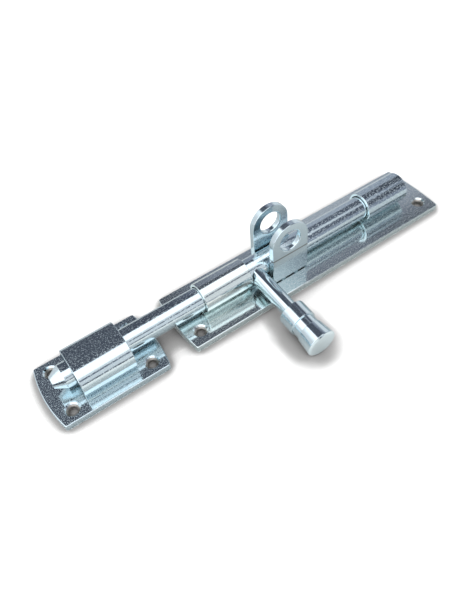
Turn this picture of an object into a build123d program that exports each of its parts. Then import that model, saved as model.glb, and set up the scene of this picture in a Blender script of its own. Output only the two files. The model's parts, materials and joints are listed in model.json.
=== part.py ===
from build123d import *
import math
import os

# Padbolt: a round bolt in two sleeves on a long plate, a pair of padlock lugs,
# a turned handle, and a keeper plate with a staple that the bolt shoots into.
#
# Frame, in millimetres: +X along the bolt towards its tail, so the bolt shoots to -X.
# +Z stands out of the surface that the plates are screwed to, and z = 0 is their back.
# The origin is the middle of the main plate's back. The handle hangs towards -Y.

# Both plates
plate_thickness = 4.5
plate_width = 49.0
plate_corner_radius = 1.6
plate_edge_round = 0.7

# Main plate, its length measured between the corners
main_length = 206.4
main_nose_bow = 1.9
main_tail_bow = 1.3

# Keeper plate
plate_gap = 19.7
keeper_length = 70.6
keeper_far_bow = 3.1
keeper_near_bow = 2.7

# Countersunk screw holes
screw_hole_diameter = 6.0
countersink_diameter = 9.8
countersink_angle = 90
main_screw_inset = 8.7
main_screw_spacing_y = 28.4
keeper_screw_spacing_x = 54.0
keeper_screw_spacing_y = 32.0

# Bolt rod
bolt_diameter = 16.0
bolt_tail_inset = 22.0
bolt_nose_overhang = 12.9
nose_taper_length = 7.3
nose_flat_diameter = 7.8
nose_round = 0.6
tail_chamfer = 1.0

# Sleeves, each a strip wrapped round the bolt with both ends turned down on the plate
sleeve_length = 35.4
sleeve_setback = 18.2
sleeve_clearance = 0.6
sleeve_wall = 1.75
sleeve_stand_off = 0.55
sleeve_bend = 0.35
sleeve_seam = 0.1
sleeve_rim_round = 0.4

# Padlock lugs
lug_width = 28.0
lug_thickness = 4.2
lug_height = 45.7
lug_clearance = 0.4
lug_hole_diameter = 15.5
lug_hole_rise = 0.7
lug_edge_round = 0.4
lug_hole_round = 1.1
lug_foot_gap = 1.0
lug_nib_width = 3.0
lug_nib_inset = 7.3
lug_nib_margin = 0.8

# Keeper staple, a wide strip bent over the bolt
staple_length = 35.0
staple_middle_offset = 0.5
staple_wall = 1.8
staple_flat = 9.3
staple_bend_radius = 12.05
staple_clearance = 0.3
staple_rim_round = 0.35

# Handle, its places measured along it from the bolt's axis
handle_sleeve_gap = 0.3
handle_lug_gap = 3.2
handle_rest_gap = 0.15
stem_diameter = 11.0
spigot_diameter = 8.0
spigot_depth = 9.5
spigot_clearance = 0.05
seat_depth = 0.2
seat_clearance = 0.05
collar_start = 42.4
collar_diameter = 18.4
collar_length = 11.4
groove_depth = 0.7
groove_length = 6.2
grip_near_diameter = 17.8
grip_far_diameter = 20.2
grip_length = 11.2
grip_face_diameter = 17.6
grip_crown = 0.8
handle_edge_round = 0.4

# Largest share of a step or gap that a round beside it takes, and how close two places count as one
round_share = 0.7
same_place = 0.01

# Places and sizes that follow
plate_top = plate_thickness
sleeve_bore_radius = bolt_diameter / 2 + sleeve_clearance
sleeve_outer_radius = sleeve_bore_radius + sleeve_wall
bolt_height = plate_top + sleeve_stand_off + sleeve_outer_radius
main_nose_x = -main_length / 2
main_tail_x = main_length / 2
keeper_near_x = main_nose_x - plate_gap
keeper_far_x = keeper_near_x - keeper_length
keeper_middle_x = (keeper_near_x + keeper_far_x) / 2
staple_middle_x = keeper_middle_x + staple_middle_offset
nose_x = staple_middle_x - staple_length / 2 - bolt_nose_overhang
tail_x = main_tail_x - bolt_tail_inset
nose_sleeve_x = main_nose_x + sleeve_setback
tail_sleeve_x = main_tail_x - sleeve_setback - sleeve_length
handle_x = nose_sleeve_x + sleeve_length + handle_sleeve_gap + stem_diameter / 2
lug_middle_x = handle_x + stem_diameter / 2 + handle_lug_gap + lug_width / 2
lug_inner_y = bolt_diameter / 2 + lug_clearance
seat_height = math.sqrt((bolt_diameter / 2) ** 2 - (stem_diameter / 2) ** 2) - seat_depth
grip_start = collar_start + collar_length + groove_length
grip_end = grip_start + grip_length
groove_radius = min(collar_diameter, grip_near_diameter) / 2 - groove_depth


def handle_droop():
    """Angle below level, in degrees, at which the grip's rim all but meets the surface behind."""
    rim_radius = grip_far_diameter / 2
    drop = bolt_height - handle_rest_gap
    return math.degrees(math.asin(drop / math.hypot(grip_end, rim_radius)) - math.atan2(rim_radius, grip_end))


def handle_plane():
    """Plane across the handle at the bolt's axis, its normal pointing along the handle."""
    droop = math.radians(handle_droop())
    away = (0, -math.cos(droop), -math.sin(droop))
    return Plane(origin=(handle_x, 0, bolt_height), x_dir=(1, 0, 0), z_dir=away)


def plate(low_x, high_x, low_bow, high_bow, screw_middle_x, screw_spacing_x, screw_spacing_y):
    """Flat plate with bowed ends, rounded top edges and four countersunk holes."""
    half = plate_width / 2
    with BuildPart() as body:
        with BuildSketch() as outline:
            with BuildLine():
                Line((low_x, -half), (high_x, -half))
                ThreePointArc((high_x, -half), (high_x + high_bow, 0), (high_x, half))
                Line((high_x, half), (low_x, half))
                ThreePointArc((low_x, half), (low_x - low_bow, 0), (low_x, -half))
            make_face()
            fillet(outline.vertices(), plate_corner_radius)
        extrude(amount=plate_thickness)
        fillet(body.faces().sort_by(Axis.Z)[-1].edges(), plate_edge_round)
        with Locations((screw_middle_x, 0, plate_top)):
            with GridLocations(screw_spacing_x, screw_spacing_y, 2, 2):
                CounterSinkHole(
                    radius=screw_hole_diameter / 2,
                    counter_sink_radius=countersink_diameter / 2,
                    counter_sink_angle=countersink_angle,
                )
    return body.part


def main_plate():
    screw_spacing_x = main_length - 2 * main_screw_inset
    return plate(
        main_nose_x,
        main_tail_x,
        main_nose_bow,
        main_tail_bow,
        0,
        screw_spacing_x,
        main_screw_spacing_y,
    )


def keeper_plate():
    return plate(
        keeper_far_x,
        keeper_near_x,
        keeper_far_bow,
        keeper_near_bow,
        keeper_middle_x,
        keeper_screw_spacing_x,
        keeper_screw_spacing_y,
    )


def sleeve(low_x):
    """Strip wrapped round the bolt, its two ends turned down side by side onto the plate."""
    bend = min(sleeve_bend, sleeve_stand_off * round_share)
    neck_width = 2 * sleeve_wall + sleeve_seam
    with BuildSketch() as section:
        with Locations((0, bolt_height)):
            Circle(sleeve_outer_radius)
        with Locations((0, plate_top)):
            Rectangle(neck_width, sleeve_outer_radius, align=(Align.CENTER, Align.MIN))
        fillet(section.vertices().sort_by(Axis.Y)[2:4], bend)
        with Locations((0, bolt_height)):
            Circle(sleeve_bore_radius, mode=Mode.SUBTRACT)
        with Locations((0, plate_top)):
            Rectangle(sleeve_seam, sleeve_outer_radius, align=(Align.CENTER, Align.MIN), mode=Mode.SUBTRACT)
        inner = [v for v in section.vertices() if abs(v.X) < sleeve_seam and v.Y > plate_top + sleeve_wall]
        fillet(inner, bend + sleeve_wall)
    tube = extrude(Plane.YZ.offset(low_x) * section.sketch, amount=sleeve_length)
    rims = [
        e
        for e in tube.edges().filter_by(GeomType.CIRCLE)
        if abs(e.radius - sleeve_outer_radius) < same_place and abs(e.tangent_at(0).X) < 0.5
    ]
    return fillet(rims, sleeve_rim_round)


def lug(inner_y, away):
    """Padlock lug that stands on two weld nibs, its inner face at inner_y."""
    foot = plate_top + lug_foot_gap
    crown_z = plate_top + lug_height - lug_width / 2
    with BuildSketch() as outline:
        with Locations((0, foot)):
            Rectangle(lug_width, crown_z - foot, align=(Align.CENTER, Align.MIN))
        with Locations((0, crown_z)):
            Circle(lug_width / 2)
        with Locations((0, crown_z + lug_hole_rise)):
            Circle(lug_hole_diameter / 2, mode=Mode.SUBTRACT)
    middle_y = inner_y + away * lug_thickness / 2
    plane = Plane(origin=(lug_middle_x, middle_y, 0), x_dir=(1, 0, 0), z_dir=(0, -1, 0))
    body = extrude(plane * outline.sketch, amount=lug_thickness / 2, both=True)
    faces = body.faces().filter_by(Axis.Y)
    rims = faces.edges().filter_by(GeomType.CIRCLE)
    hole_rims = [e for e in rims if e.radius < lug_hole_diameter / 2 + same_place]
    body = fillet(hole_rims, lug_hole_round)
    outer = [
        e
        for e in body.faces().filter_by(Axis.Y).edges()
        if e.center().Z > foot + same_place
        and not (e.geom_type == GeomType.CIRCLE and e.radius < lug_width / 2 - same_place)
    ]
    body = fillet(outer, lug_edge_round)
    nib_spread = lug_width / 2 - lug_nib_inset - lug_nib_width / 2
    for side in (-1, 1):
        nib = Box(
            lug_nib_width,
            lug_thickness - 2 * lug_nib_margin,
            lug_foot_gap,
            align=(Align.CENTER, Align.CENTER, Align.MIN),
        )
        body += Pos(lug_middle_x + side * nib_spread, middle_y, plate_top) * nib
    return body


def keeper_staple():
    """Wide strip bent over the bolt, its ends turned in to stand on the keeper plate."""
    inside_top = bolt_height + bolt_diameter / 2 + staple_clearance
    bend_z = inside_top + staple_wall - staple_bend_radius
    span = staple_flat + 2 * staple_bend_radius
    with BuildSketch() as section:
        with Locations((0, bend_z)):
            SlotCenterToCenter(staple_flat, 2 * staple_bend_radius)
            SlotCenterToCenter(staple_flat, 2 * (staple_bend_radius - staple_wall), mode=Mode.SUBTRACT)
        with Locations((0, plate_top)):
            Rectangle(span, 2 * span, align=(Align.CENTER, Align.MAX), mode=Mode.SUBTRACT)
    low_x = staple_middle_x - staple_length / 2
    arch = extrude(Plane.YZ.offset(low_x) * section.sketch, amount=staple_length)
    ends = [e for e in arch.edges() if abs(e.tangent_at(0).X) < 0.5 and e.center().Z > plate_top + same_place]
    return fillet([e for e in ends if outside_of_staple(e, bend_z)], staple_rim_round)


def outside_of_staple(edge, bend_z):
    """Whether an edge of the staple's end lies on its outside."""
    if edge.geom_type == GeomType.CIRCLE:
        return edge.radius > staple_bend_radius - staple_wall / 2
    return edge.center().Z > bend_z + staple_bend_radius - staple_wall / 2


def bolt_rod():
    """Round bolt with a tapered nose, and a counterbored hole for the handle's stem and spigot."""
    radius = bolt_diameter / 2
    with BuildSketch(Plane.XZ) as profile:
        with BuildLine():
            Polyline(
                (nose_x, 0),
                (nose_x, nose_flat_diameter / 2),
                (nose_x + nose_taper_length, radius),
                (tail_x - tail_chamfer, radius),
                (tail_x, radius - tail_chamfer),
                (tail_x, 0),
                close=True,
            )
        make_face()
        nose_rims = [v for v in profile.vertices() if v.X < nose_x + 2 * nose_taper_length and v.Y > same_place]
        fillet(nose_rims, nose_round)
    rod = Pos(0, 0, bolt_height) * revolve(profile.sketch, Axis.X)
    across = handle_plane()
    seat = across.offset(seat_height) * Cylinder(
        stem_diameter / 2 + seat_clearance, bolt_diameter, align=(Align.CENTER, Align.CENTER, Align.MIN)
    )
    hole = across.offset(seat_height - spigot_depth - spigot_clearance) * Cylinder(
        spigot_diameter / 2 + spigot_clearance, bolt_diameter, align=(Align.CENTER, Align.CENTER, Align.MIN)
    )
    return rod - seat - hole


def handle():
    """Turned handle: spigot in the bolt, plain stem, collar, wide groove and flared grip."""
    with BuildSketch(Plane.XZ) as profile:
        with BuildLine():
            Polyline(
                (0, seat_height - spigot_depth),
                (spigot_diameter / 2, seat_height - spigot_depth),
                (spigot_diameter / 2, seat_height),
                (stem_diameter / 2, seat_height),
                (stem_diameter / 2, collar_start),
                (collar_diameter / 2, collar_start),
                (collar_diameter / 2, collar_start + collar_length),
                (groove_radius, collar_start + collar_length),
                (groove_radius, grip_start),
                (grip_near_diameter / 2, grip_start),
                (grip_far_diameter / 2, grip_end),
                (grip_face_diameter / 2, grip_end + grip_crown),
                (0, grip_end + grip_crown),
                close=True,
            )
        make_face()
        edges = [v for v in profile.vertices() if v.Y > collar_start - same_place]
        rims = [v for v in edges if v.X > groove_radius + same_place]
        fillet(rims, min(handle_edge_round, groove_depth * round_share))
    turned = revolve(profile.sketch, Axis.Z)
    return handle_plane().location * turned


os.makedirs("parts", exist_ok=True)
parts = {
    "main_plate": main_plate(),
    "nose_sleeve": sleeve(nose_sleeve_x),
    "tail_sleeve": sleeve(tail_sleeve_x),
    "lower_lug": lug(-lug_inner_y, -1),
    "upper_lug": lug(lug_inner_y, 1),
    "keeper_plate": keeper_plate(),
    "keeper_staple": keeper_staple(),
    "bolt_rod": bolt_rod(),
    "handle": handle(),
}
for name, solid in parts.items():
    export_step(solid, f"parts/{name}.step")
    print(name, round(solid.volume), solid.bounding_box())
print("handle droop", round(handle_droop(), 2), "bolt height", round(bolt_height, 2))
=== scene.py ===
import json
from math import cos, pi, radians, sin

import bpy
from mathutils import Matrix, Vector

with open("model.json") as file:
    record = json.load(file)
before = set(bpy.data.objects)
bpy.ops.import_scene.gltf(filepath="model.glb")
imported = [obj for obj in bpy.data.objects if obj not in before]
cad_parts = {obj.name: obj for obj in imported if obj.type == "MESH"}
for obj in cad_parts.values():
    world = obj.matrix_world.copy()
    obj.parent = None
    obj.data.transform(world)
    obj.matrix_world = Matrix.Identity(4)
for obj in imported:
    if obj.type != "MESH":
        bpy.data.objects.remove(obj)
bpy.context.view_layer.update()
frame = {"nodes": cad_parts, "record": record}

MM = 0.001
BLACK = (0, 0, 0, 1)


# Node trees

class Tree:
    """The nodes of one material or of the world."""

    def __init__(self, owner):
        self.owner = owner
        owner.use_nodes = True
        self.nodes = owner.node_tree.nodes
        self.links = owner.node_tree.links
        self.nodes.clear()

    def add(self, kind, settings=None, **sockets):
        """Adds a node: its settings first, then its sockets, by name or as i0, i1 and so on."""
        node = self.nodes.new(kind)
        for name, setting in (settings or {}).items():
            setattr(node, name, setting)
        for name, given in sockets.items():
            numbered = name[1:].isdigit()
            key = int(name[1:]) if numbered else name.replace("_", " ")
            self.feed(node.inputs[key], given)
        return node

    def feed(self, socket, given):
        if isinstance(given, Value):
            self.links.new(given.socket, socket)
        elif isinstance(given, bpy.types.NodeSocket):
            self.links.new(given, socket)
        else:
            socket.default_value = given

    def value(self, kind, settings=None, output=0, **sockets):
        return Value(self, self.add(kind, settings, **sockets).outputs[output])

    def place(self):
        """Where a point lies, in metres from the middle of the main plate's back."""
        return self.add("ShaderNodeTexCoord").outputs["Object"]

    def along_axes(self, vector):
        """The three parts of a vector, each as a value."""
        outputs = self.add("ShaderNodeSeparateXYZ", Vector=vector).outputs
        return [Value(self, output) for output in outputs]

    def mixed(self, share, first, second):
        """The colour between two colours, at that share of the second."""
        colours = {"i6": first, "i7": second}
        return self.value("ShaderNodeMix", {"data_type": "RGBA"}, 2, i0=share, **colours)

    def finish(self, shader, output="ShaderNodeOutputMaterial"):
        self.add(output, Surface=shader)
        return self.owner


def new_tree(name):
    return Tree(bpy.data.materials.new(name))


class Value:
    """A number or colour that varies over a surface. Sums on numbers add Math nodes."""

    def __init__(self, tree, socket):
        self.tree = tree
        self.socket = socket

    def maths(self, operation, *others):
        sockets = {f"i{place}": other for place, other in enumerate(others)}
        return self.tree.value("ShaderNodeMath", {"operation": operation}, **sockets)

    def __add__(self, other):
        return self.maths("ADD", self, other)

    __radd__ = __add__

    def __sub__(self, other):
        return self.maths("SUBTRACT", self, other)

    def __rsub__(self, other):
        return self.maths("SUBTRACT", other, self)

    def __mul__(self, other):
        return self.maths("MULTIPLY", self, other)

    __rmul__ = __mul__

    def least(self, other):
        """The smaller of the two."""
        return self.maths("MINIMUM", self, other)

    def most(self, other):
        """The larger of the two."""
        return self.maths("MAXIMUM", self, other)

    def size(self):
        """The number without its sign."""
        return self.maths("ABSOLUTE", self)

    def root(self):
        return self.maths("SQRT", self)

    def tilt(self, other):
        """The angle in degrees whose tangent is self over other."""
        return self.maths("ARCTAN2", self, other) * (180 / pi)

    def step(self, low, high):
        """0 below low, 1 above high, and smooth between."""
        smooth = {"interpolation_type": "SMOOTHSTEP"}
        limits = {"From_Min": low, "From_Max": high}
        return self.tree.value("ShaderNodeMapRange", smooth, Value=self, **limits)


# Bright zinc plating

ZINC = (0.68, 0.79, 0.83)
GREEN_ZINC = (0.76, 0.84, 0.835)
# Painted dark colours: shade in the screw countersinks and holes, and a reflected dark line on a lug.
SINK_PAINTED_SHADE = (0.38, 0.36, 0.33, 1)
PAINTED_DARK = (0.24, 0.23, 0.22, 1)
DULL_SHARE = 0.72

SPECK_SIZE = 0.64 * MM
GRAIN_SIZE = 0.4 * MM
LINE_SIZE = 1.1 * MM
CLOUD_SIZE = 14 * MM
NOISE_ROUGHNESS = 0.65
LINE_STRETCH = (0.02, 1, 1)
BUMP_DEPTH = 0.1 * MM

FROST_EDGE = (0.51, 0.62)
PIT_EDGE = (0.34, 0.42)
DULL_CLOUD_EDGE = (0.45, 0.75)
ROUGH_CLOUD_EDGE = (0.4, 0.8)
GRAIN_HEIGHT = 0.4
PIT_DULLNESS = 0.24
CLOUD_DULLNESS = 0.2
CLOUD_ROUGHNESS = 0.04

# Where the painted shade in each screw hole lies, measured from its centre.
SINK_EDGE = (3.8 * MM, 4.1 * MM)
HOLE_EDGE = (2.8 * MM, 3.2 * MM)
SINK_ROUGHNESS = 0.25
# A painted reflection: a fine dark line across the lower lug at this height.
REFLECTION_LINE_HEIGHT = 25.7 * MM
REFLECTION_LINE_EDGE = (0.3 * MM, 0.7 * MM)
REFLECTION_LINE_DARKNESS = 0.9


def distance_to_screws(tree, place, screws):
    """How far the nearest of four screws is, at the corners of a rectangle."""
    along, across, _ = tree.along_axes(place)
    spacing = screws["dims"]
    beside = (along - screws["pos_m"][0]).size() - spacing["spacing_x_mm"] * MM / 2
    over = across.size() - spacing["spacing_y_mm"] * MM / 2
    return (beside * beside + over * over).root()


def zinc(
    name, frosting, bump, roughness, squeeze=(1, 1, 1), lines=0.0, screws=None, painted_reflection_line=False, tint=ZINC
):
    """Plated steel: a mirror with fine frosted specks, dull pits and faint clouds.

    frosting is how much rougher the specks are. squeeze scales their pattern along each axis, and
    lines is the height of the drawing lines along the bolt. screws is the mount whose countersinks and
    holes get painted shade, a darker colour inside, and the reflection-line flag draws a fine dark
    line across, a painted reflection.
    """
    tree = new_tree(name)
    place = tree.place()

    def noise(size, detail, where=place):
        settings = {"Scale": 1 / size, "Detail": detail, "Roughness": NOISE_ROUGHNESS}
        return tree.value("ShaderNodeTexNoise", Vector=where, **settings)

    def stretched(scale):
        return tree.add("ShaderNodeMapping", Vector=place, Scale=scale).outputs[0]

    specks = noise(SPECK_SIZE, 3.0, stretched(squeeze))
    grains = noise(GRAIN_SIZE, 1.0)
    clouds = noise(CLOUD_SIZE, 3.0)
    frost = specks.step(*FROST_EDGE)
    pits = 1 - specks.step(*PIT_EDGE)
    height = specks + grains * GRAIN_HEIGHT
    if lines:
        height = height + noise(LINE_SIZE, 2.0, stretched(LINE_STRETCH)) * lines
    relief = tree.add("ShaderNodeBump", Strength=bump, Distance=BUMP_DEPTH, Height=height)
    dull = pits * PIT_DULLNESS + clouds.step(*DULL_CLOUD_EDGE) * CLOUD_DULLNESS
    gloss = roughness + frost * frosting + clouds.step(*ROUGH_CLOUD_EDGE) * CLOUD_ROUGHNESS
    dull_tint = [part * DULL_SHARE for part in tint]
    colour = tree.mixed(dull, (*tint, 1), (*dull_tint, 1))
    # Painted shade: the inner countersink and the bore are coloured darker. The countersink is also
    # rougher.
    if screws:
        reach = distance_to_screws(tree, place, screws)
        sunk = 1 - reach.step(*SINK_EDGE)
        gloss = gloss + sunk * SINK_ROUGHNESS
        colour = tree.mixed(sunk, colour, SINK_PAINTED_SHADE)
        colour = tree.mixed(1 - reach.step(*HOLE_EDGE), colour, PAINTED_DARK)
    # Painted reflection: a fine dark line across the face at one height, as of a dark line mirrored
    # there.
    if painted_reflection_line:
        height_up = tree.along_axes(place)[2]
        line = 1 - (height_up - REFLECTION_LINE_HEIGHT).size().step(*REFLECTION_LINE_EDGE)
        colour = tree.mixed(line * REFLECTION_LINE_DARKNESS, colour, PAINTED_DARK)
    shader = tree.add(
        "ShaderNodeBsdfPrincipled",
        Base_Color=colour,
        Metallic=1.0,
        Roughness=gloss,
        Normal=relief.outputs[0],
    )
    return tree.finish(shader.outputs[0])


MOUNTS = {mount["name"]: mount for mount in frame["record"]["mounts"]}
SLEEVE_DRAWING = {"squeeze": (0.6, 1, 1), "lines": 1.5}
STAPLE_DRAWING = {"squeeze": (0.8, 1, 1), "lines": 0.8}
ROD_DRAWING = {"squeeze": (0.5, 1, 1), "lines": 1.8}

FINISHES = {
    "main_plate": zinc(
        "plate_zinc", frosting=0.33, bump=0.05, roughness=0.08,
        screws=MOUNTS["main_screws"], tint=GREEN_ZINC,
    ),
    "keeper_plate": zinc(
        "keeper_plate_zinc", frosting=0.42, bump=0.05, roughness=0.08,
        screws=MOUNTS["keeper_screws"],
    ),
    "nose_sleeve": zinc(
        "sleeve_zinc", frosting=0.26, bump=0.05, roughness=0.05,
        tint=GREEN_ZINC, **SLEEVE_DRAWING,
    ),
    "tail_sleeve": zinc(
        "tail_sleeve_zinc", frosting=0.38, bump=0.08, roughness=0.05, **SLEEVE_DRAWING
    ),
    "keeper_staple": zinc("staple_zinc", frosting=0.35, bump=0.04, roughness=0.05, **STAPLE_DRAWING),
    # The lower lug carries the painted reflection line.
    "lower_lug": zinc("lower_lug_zinc", frosting=0.06, bump=0.08, roughness=0.14, painted_reflection_line=True),
    "upper_lug": zinc("upper_lug_zinc", frosting=0.06, bump=0.08, roughness=0.14),
    "bolt_rod": zinc("rod_zinc", frosting=0.3, bump=0.05, roughness=0.05, **ROD_DRAWING),
    "handle": zinc("handle_zinc", frosting=0.1, bump=0.15, roughness=0.06),
}
for node_name, plating in FINISHES.items():
    for slot in frame["nodes"][node_name].material_slots:
        slot.material = plating


# Floor

FLOOR_HALF = 3.0
FLOOR_WHITE = (0.93, 0.93, 0.93, 1)
# Painted shade on the floor, from how much the padbolt covers it nearby.
SHADE_REACH = 0.015
SHADE_SAMPLES = 12
SHADE_GAIN = 2.9
SHADE_START = 0.03
SHADE_LIMIT = 0.6
DEEP_SHADE_EDGE = (0.5, 0.75)
DEEP_SHADE = 0.25

# A sheet seen only in reflections, painted pale and grey as a painted reflection of the floor.
MIRRORED_HALF = 0.22
MIRRORED_LEVEL = 0.05 * MM
MIRRORED_GREY = (0.37, 0.39, 0.40, 1)
MIRRORED_WHITE = (0.63, 0.63, 0.62, 1)
MIRRORED_RIGHT_EDGE = (0.02, 0.1)
MIRRORED_BACK_EDGE = (0.04, 0.09)


def stage_piece(name, corners, faces, finish):
    """A piece of the studio, which is no part of the padbolt."""
    mesh = bpy.data.meshes.new(name)
    mesh.from_pydata(corners, [], faces)
    mesh.materials.append(finish)
    piece = bpy.data.objects.new(name, mesh)
    bpy.context.scene.collection.objects.link(piece)
    return piece


def square_sheet(name, half, level, finish):
    """A flat square about the origin, at that height."""
    sides = [(-half, -half), (half, -half), (half, half), (-half, half)]
    corners = [(along, across, level) for along, across in sides]
    return stage_piece(name, corners, [(0, 1, 2, 3)], finish)


def matt(tree, colour):
    return tree.finish(tree.add("ShaderNodeBsdfDiffuse", Color=colour).outputs[0])


def floor_paper():
    """Paper with painted shade: it greys where the padbolt stands close over it, and more so in its
    screw holes.
    """
    tree = new_tree("floor_paper")
    samples = {"samples": SHADE_SAMPLES}
    covered = 1 - tree.value("ShaderNodeAmbientOcclusion", samples, "AO", Distance=SHADE_REACH)
    shade = (covered * SHADE_GAIN - SHADE_START).most(0).least(SHADE_LIMIT)
    shade = shade + covered.step(*DEEP_SHADE_EDGE) * DEEP_SHADE
    return matt(tree, tree.mixed(shade, FLOOR_WHITE, BLACK))


def mirrored_paper():
    """The floor as the zinc mirrors it, a painted reflection: pale in front on the left, grey
    elsewhere.
    """
    tree = new_tree("mirrored_paper")
    along, across, _ = tree.along_axes(tree.place())
    pale = (1 - along.step(*MIRRORED_RIGHT_EDGE)) * (0 - across).step(*MIRRORED_BACK_EDGE)
    return matt(tree, tree.mixed(pale, MIRRORED_GREY, MIRRORED_WHITE))


floor = square_sheet("floor", FLOOR_HALF, 0.0, floor_paper())
floor.visible_glossy = False

mirrored_floor = square_sheet("mirrored_floor", MIRRORED_HALF, MIRRORED_LEVEL, mirrored_paper())
mirrored_floor.visible_camera = False
mirrored_floor.visible_diffuse = False
mirrored_floor.visible_shadow = False


# Studio dome, seen only in reflections

DOME_RADIUS = 2.5
DOME_LOWEST = radians(-30)
DOME_RINGS = 24
DOME_SPOKES = 64

# Edges across the dome are the sine of the angle to the right of its middle.
FAR_RIGHT_EDGE = (0.38, 0.44)
FAR_LEFT_EDGE = (-0.32, -0.2)
LEFT_BACK_WALL_SIDE = (0.18, 0.3)
SHINE_SIDE = (0.5, 0.68)
RIGHT_SHADE_SIDE = (0.5, 0.6)
RIGHT_WALL_SIDE = (0.66, 0.74)
LOW_DARK_SIDE = (0.2, 0.28)

# Edges from back to front are degrees tipped forward from straight up.
WINDOW_BACK_EDGE = (-9, -1)
WINDOW_FRONT_EDGE = (38, 46)
FAR_LEFT_WINDOW_EDGE = (-55, -25)
SEAM_BACK_EDGE = (52, 56)
SEAM_FRONT_EDGE = (60, 64)
LOW_WALL_FADE = (78, 90)
LEFT_BACK_WALL_EDGE = (-40, -36.5)
SHINE_BACK_EDGE = (4, 20)
SHINE_FRONT_EDGE = (28, 36)
FRONT_WALL_EDGE = (60, 76)
RIGHT_BACK_WALL_EDGE = (-36, -33)
LOW_DARK_EDGE = (86, 90)

# The window and the seam lean: their edges hold at one place across and move towards the back
# by so many degrees for each step of 1 to its right.
LEAN_START = 0.09
LEAN = 45

# Lights of the dome's parts.
LEFT_LIGHT = 0.11
WINDOW_LIGHT = 1.65
FAR_LEFT_WINDOW_SHARES = (0.45, 0.55)
LOW_WALL_LIGHT = 0.77
LOW_WALL_LOSS = 0.3
SEAM_DARK = 0.70
LEFT_BACK_WALL_LIGHT = 0.22
RIGHT_LIGHT = 0.17
RIGHT_SHADE = 0.08
SHINE_LIGHT = 0.65
FRONT_WALL_LIGHT = 0.22
RIGHT_BACK_WALL_LIGHT = 0.34
RIGHT_WALL_LIGHT = 0.45
LOW_DARK = 0.85

TINT_EDGE = (0.1, 0.9)
SLATE_BLUE = (0.80, 0.87, 1.12, 1)
COOL_WHITE = (0.90, 0.92, 0.96, 1)


def dome_light():
    """White in front and on the left, slate blue behind and on the right."""
    tree = new_tree("dome_light")
    aim = tree.add("ShaderNodeVectorMath", {"operation": "NORMALIZE"}, i0=tree.place()).outputs[0]
    right, back, up = tree.along_axes(aim)
    tip = (0 - back).tilt(up)
    leaning_tip = tip + (right - LEAN_START) * LEAN
    far_right = right.step(*FAR_RIGHT_EDGE)
    far_left = 1 - right.step(*FAR_LEFT_EDGE)

    least, rest = FAR_LEFT_WINDOW_SHARES
    left_window = far_left * (least + rest * tip.step(*FAR_LEFT_WINDOW_EDGE))
    window = leaning_tip.step(*WINDOW_BACK_EDGE).most(left_window)
    window = window * (1 - leaning_tip.step(*WINDOW_FRONT_EDGE))
    low_wall = leaning_tip.step(*WINDOW_FRONT_EDGE)
    low_wall = low_wall * (1 - tip.step(*LOW_WALL_FADE) * LOW_WALL_LOSS)
    seam = leaning_tip.step(*SEAM_BACK_EDGE) * (1 - leaning_tip.step(*SEAM_FRONT_EDGE))
    left_back_wall = 1 - tip.step(*LEFT_BACK_WALL_EDGE)
    left_level = LEFT_LIGHT + WINDOW_LIGHT * window + LOW_WALL_LIGHT * low_wall - SEAM_DARK * seam
    left_level = left_level + LEFT_BACK_WALL_LIGHT * left_back_wall * right.step(*LEFT_BACK_WALL_SIDE)

    shine = tip.step(*SHINE_BACK_EDGE) * (1 - tip.step(*SHINE_FRONT_EDGE))
    shine = shine * (1 - right.step(*SHINE_SIDE))
    right_level = RIGHT_LIGHT - RIGHT_SHADE * right.step(*RIGHT_SHADE_SIDE) + SHINE_LIGHT * shine
    right_level = right_level + FRONT_WALL_LIGHT * tip.step(*FRONT_WALL_EDGE)
    right_level = right_level + RIGHT_BACK_WALL_LIGHT * (1 - tip.step(*RIGHT_BACK_WALL_EDGE))
    right_level = right_level + RIGHT_WALL_LIGHT * right.step(*RIGHT_WALL_SIDE)

    level = left_level * (1 - far_right) + right_level * far_right
    level = level * (1 - LOW_DARK * tip.step(*LOW_DARK_EDGE) * (1 - right.step(*LOW_DARK_SIDE)))
    tint = tree.mixed(level.step(*TINT_EDGE), SLATE_BLUE, COOL_WHITE)
    shone = tree.add("ShaderNodeVectorMath", {"operation": "SCALE"}, i0=tint, Scale=level)
    light = tree.add("ShaderNodeEmission", Color=shone.outputs[0], Strength=1.0)
    finish = tree.finish(light.outputs[0])
    finish.cycles.emission_sampling = "NONE"
    return finish


def dome_shape():
    """Corners and faces of a sphere from a little below the horizon to its top."""
    corners = []
    for ring in range(DOME_RINGS):
        rise = DOME_LOWEST + (pi / 2 - DOME_LOWEST) * ring / DOME_RINGS
        for spoke in range(DOME_SPOKES):
            turn = 2 * pi * spoke / DOME_SPOKES
            outward = Vector((cos(turn) * cos(rise), sin(turn) * cos(rise), sin(rise)))
            corners.append(outward * DOME_RADIUS)
    top = len(corners)
    corners.append(Vector((0, 0, DOME_RADIUS)))
    faces = []
    for ring in range(DOME_RINGS):
        for spoke in range(DOME_SPOKES):
            ahead = (spoke + 1) % DOME_SPOKES
            low = ring * DOME_SPOKES
            high = low + DOME_SPOKES
            if high == top:
                faces.append((low + spoke, low + ahead, top))
            else:
                faces.append((low + spoke, low + ahead, high + ahead, high + spoke))
    return corners, faces


dome = stage_piece("studio_dome", *dome_shape(), dome_light())
dome.visible_camera = False
dome.visible_diffuse = False
dome.visible_shadow = False
dome.visible_transmission = False


# Lamps

WORLD_LIGHT = 3.3
HIGH_GREY = (0.43, 0.43, 0.43, 1)
LOW_WHITE = (1, 1, 1, 1)
HIGH_EDGE = (0.1, 0.62)


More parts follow.
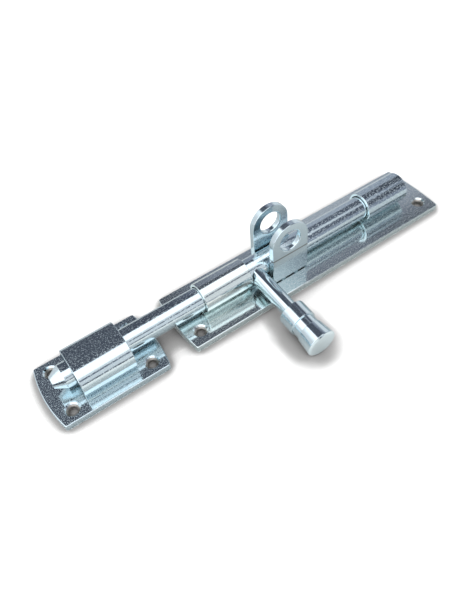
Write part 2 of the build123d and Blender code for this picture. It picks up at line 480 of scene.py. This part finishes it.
def soft_lamp(name, place, aim, size, power):
    """A square soft light that shows in no reflection."""
    data = bpy.data.lights.new(name, "AREA")
    data.shape = "SQUARE"
    data.size = size
    data.energy = power
    lamp = bpy.data.objects.new(name, data)
    bpy.context.scene.collection.objects.link(lamp)
    lamp.location = place
    lamp.rotation_mode = "QUATERNION"
    lamp.rotation_quaternion = (Vector(aim) - Vector(place)).to_track_quat("-Z", "Y")
    lamp.visible_glossy = False


def studio_world():
    """Light from all round, most of it from low down, for a soft halo of shade."""
    world = bpy.data.worlds.new("studio")
    bpy.context.scene.world = world
    tree = Tree(world)
    up = tree.along_axes(tree.add("ShaderNodeTexCoord").outputs["Generated"])[2]
    glow = tree.mixed(up.step(*HIGH_EDGE), LOW_WHITE, HIGH_GREY)
    light = tree.add("ShaderNodeBackground", Color=glow, Strength=WORLD_LIGHT)
    tree.finish(light.outputs[0], "ShaderNodeOutputWorld")


soft_lamp("key_lamp", place=(-0.85, 1.0, 1.05), aim=(-0.05, 0, 0), size=1.6, power=4)
studio_world()


# Camera

AZIMUTH = radians(-28.61)
ELEVATION = radians(50.33)
ROLL = radians(-7.38)
DISTANCE = 0.40272
TARGET = Vector((-0.06641, 0.00005, 0.0))
FOCAL_PIXELS = 606.19
LONG_SIDE_PIXELS = 600
SENSOR = 36.0
NEAREST = 0.01
FARTHEST = 20

to_camera = Vector((sin(AZIMUTH) * cos(ELEVATION), -cos(AZIMUTH) * cos(ELEVATION), sin(ELEVATION)))
sideways = Vector((0, 0, 1)).cross(to_camera).normalized()
upward = to_camera.cross(sideways)
picture_right = sideways * cos(ROLL) + upward * sin(ROLL)
picture_up = upward * cos(ROLL) - sideways * sin(ROLL)
camera_data = bpy.data.cameras.new("camera")
camera_data.sensor_fit = "AUTO"
camera_data.sensor_width = SENSOR
camera_data.lens = FOCAL_PIXELS / LONG_SIDE_PIXELS * SENSOR
camera_data.clip_start = NEAREST
camera_data.clip_end = FARTHEST
camera = bpy.data.objects.new("camera", camera_data)
bpy.context.scene.collection.objects.link(camera)
camera_turn = Matrix((picture_right, picture_up, to_camera)).transposed()
camera.matrix_world = Matrix.Translation(TARGET + to_camera * DISTANCE) @ camera_turn.to_4x4()
bpy.context.scene.camera = camera
bpy.context.scene.view_settings.view_transform = "Standard"
bpy.context.scene.cycles.caustics_reflective = False
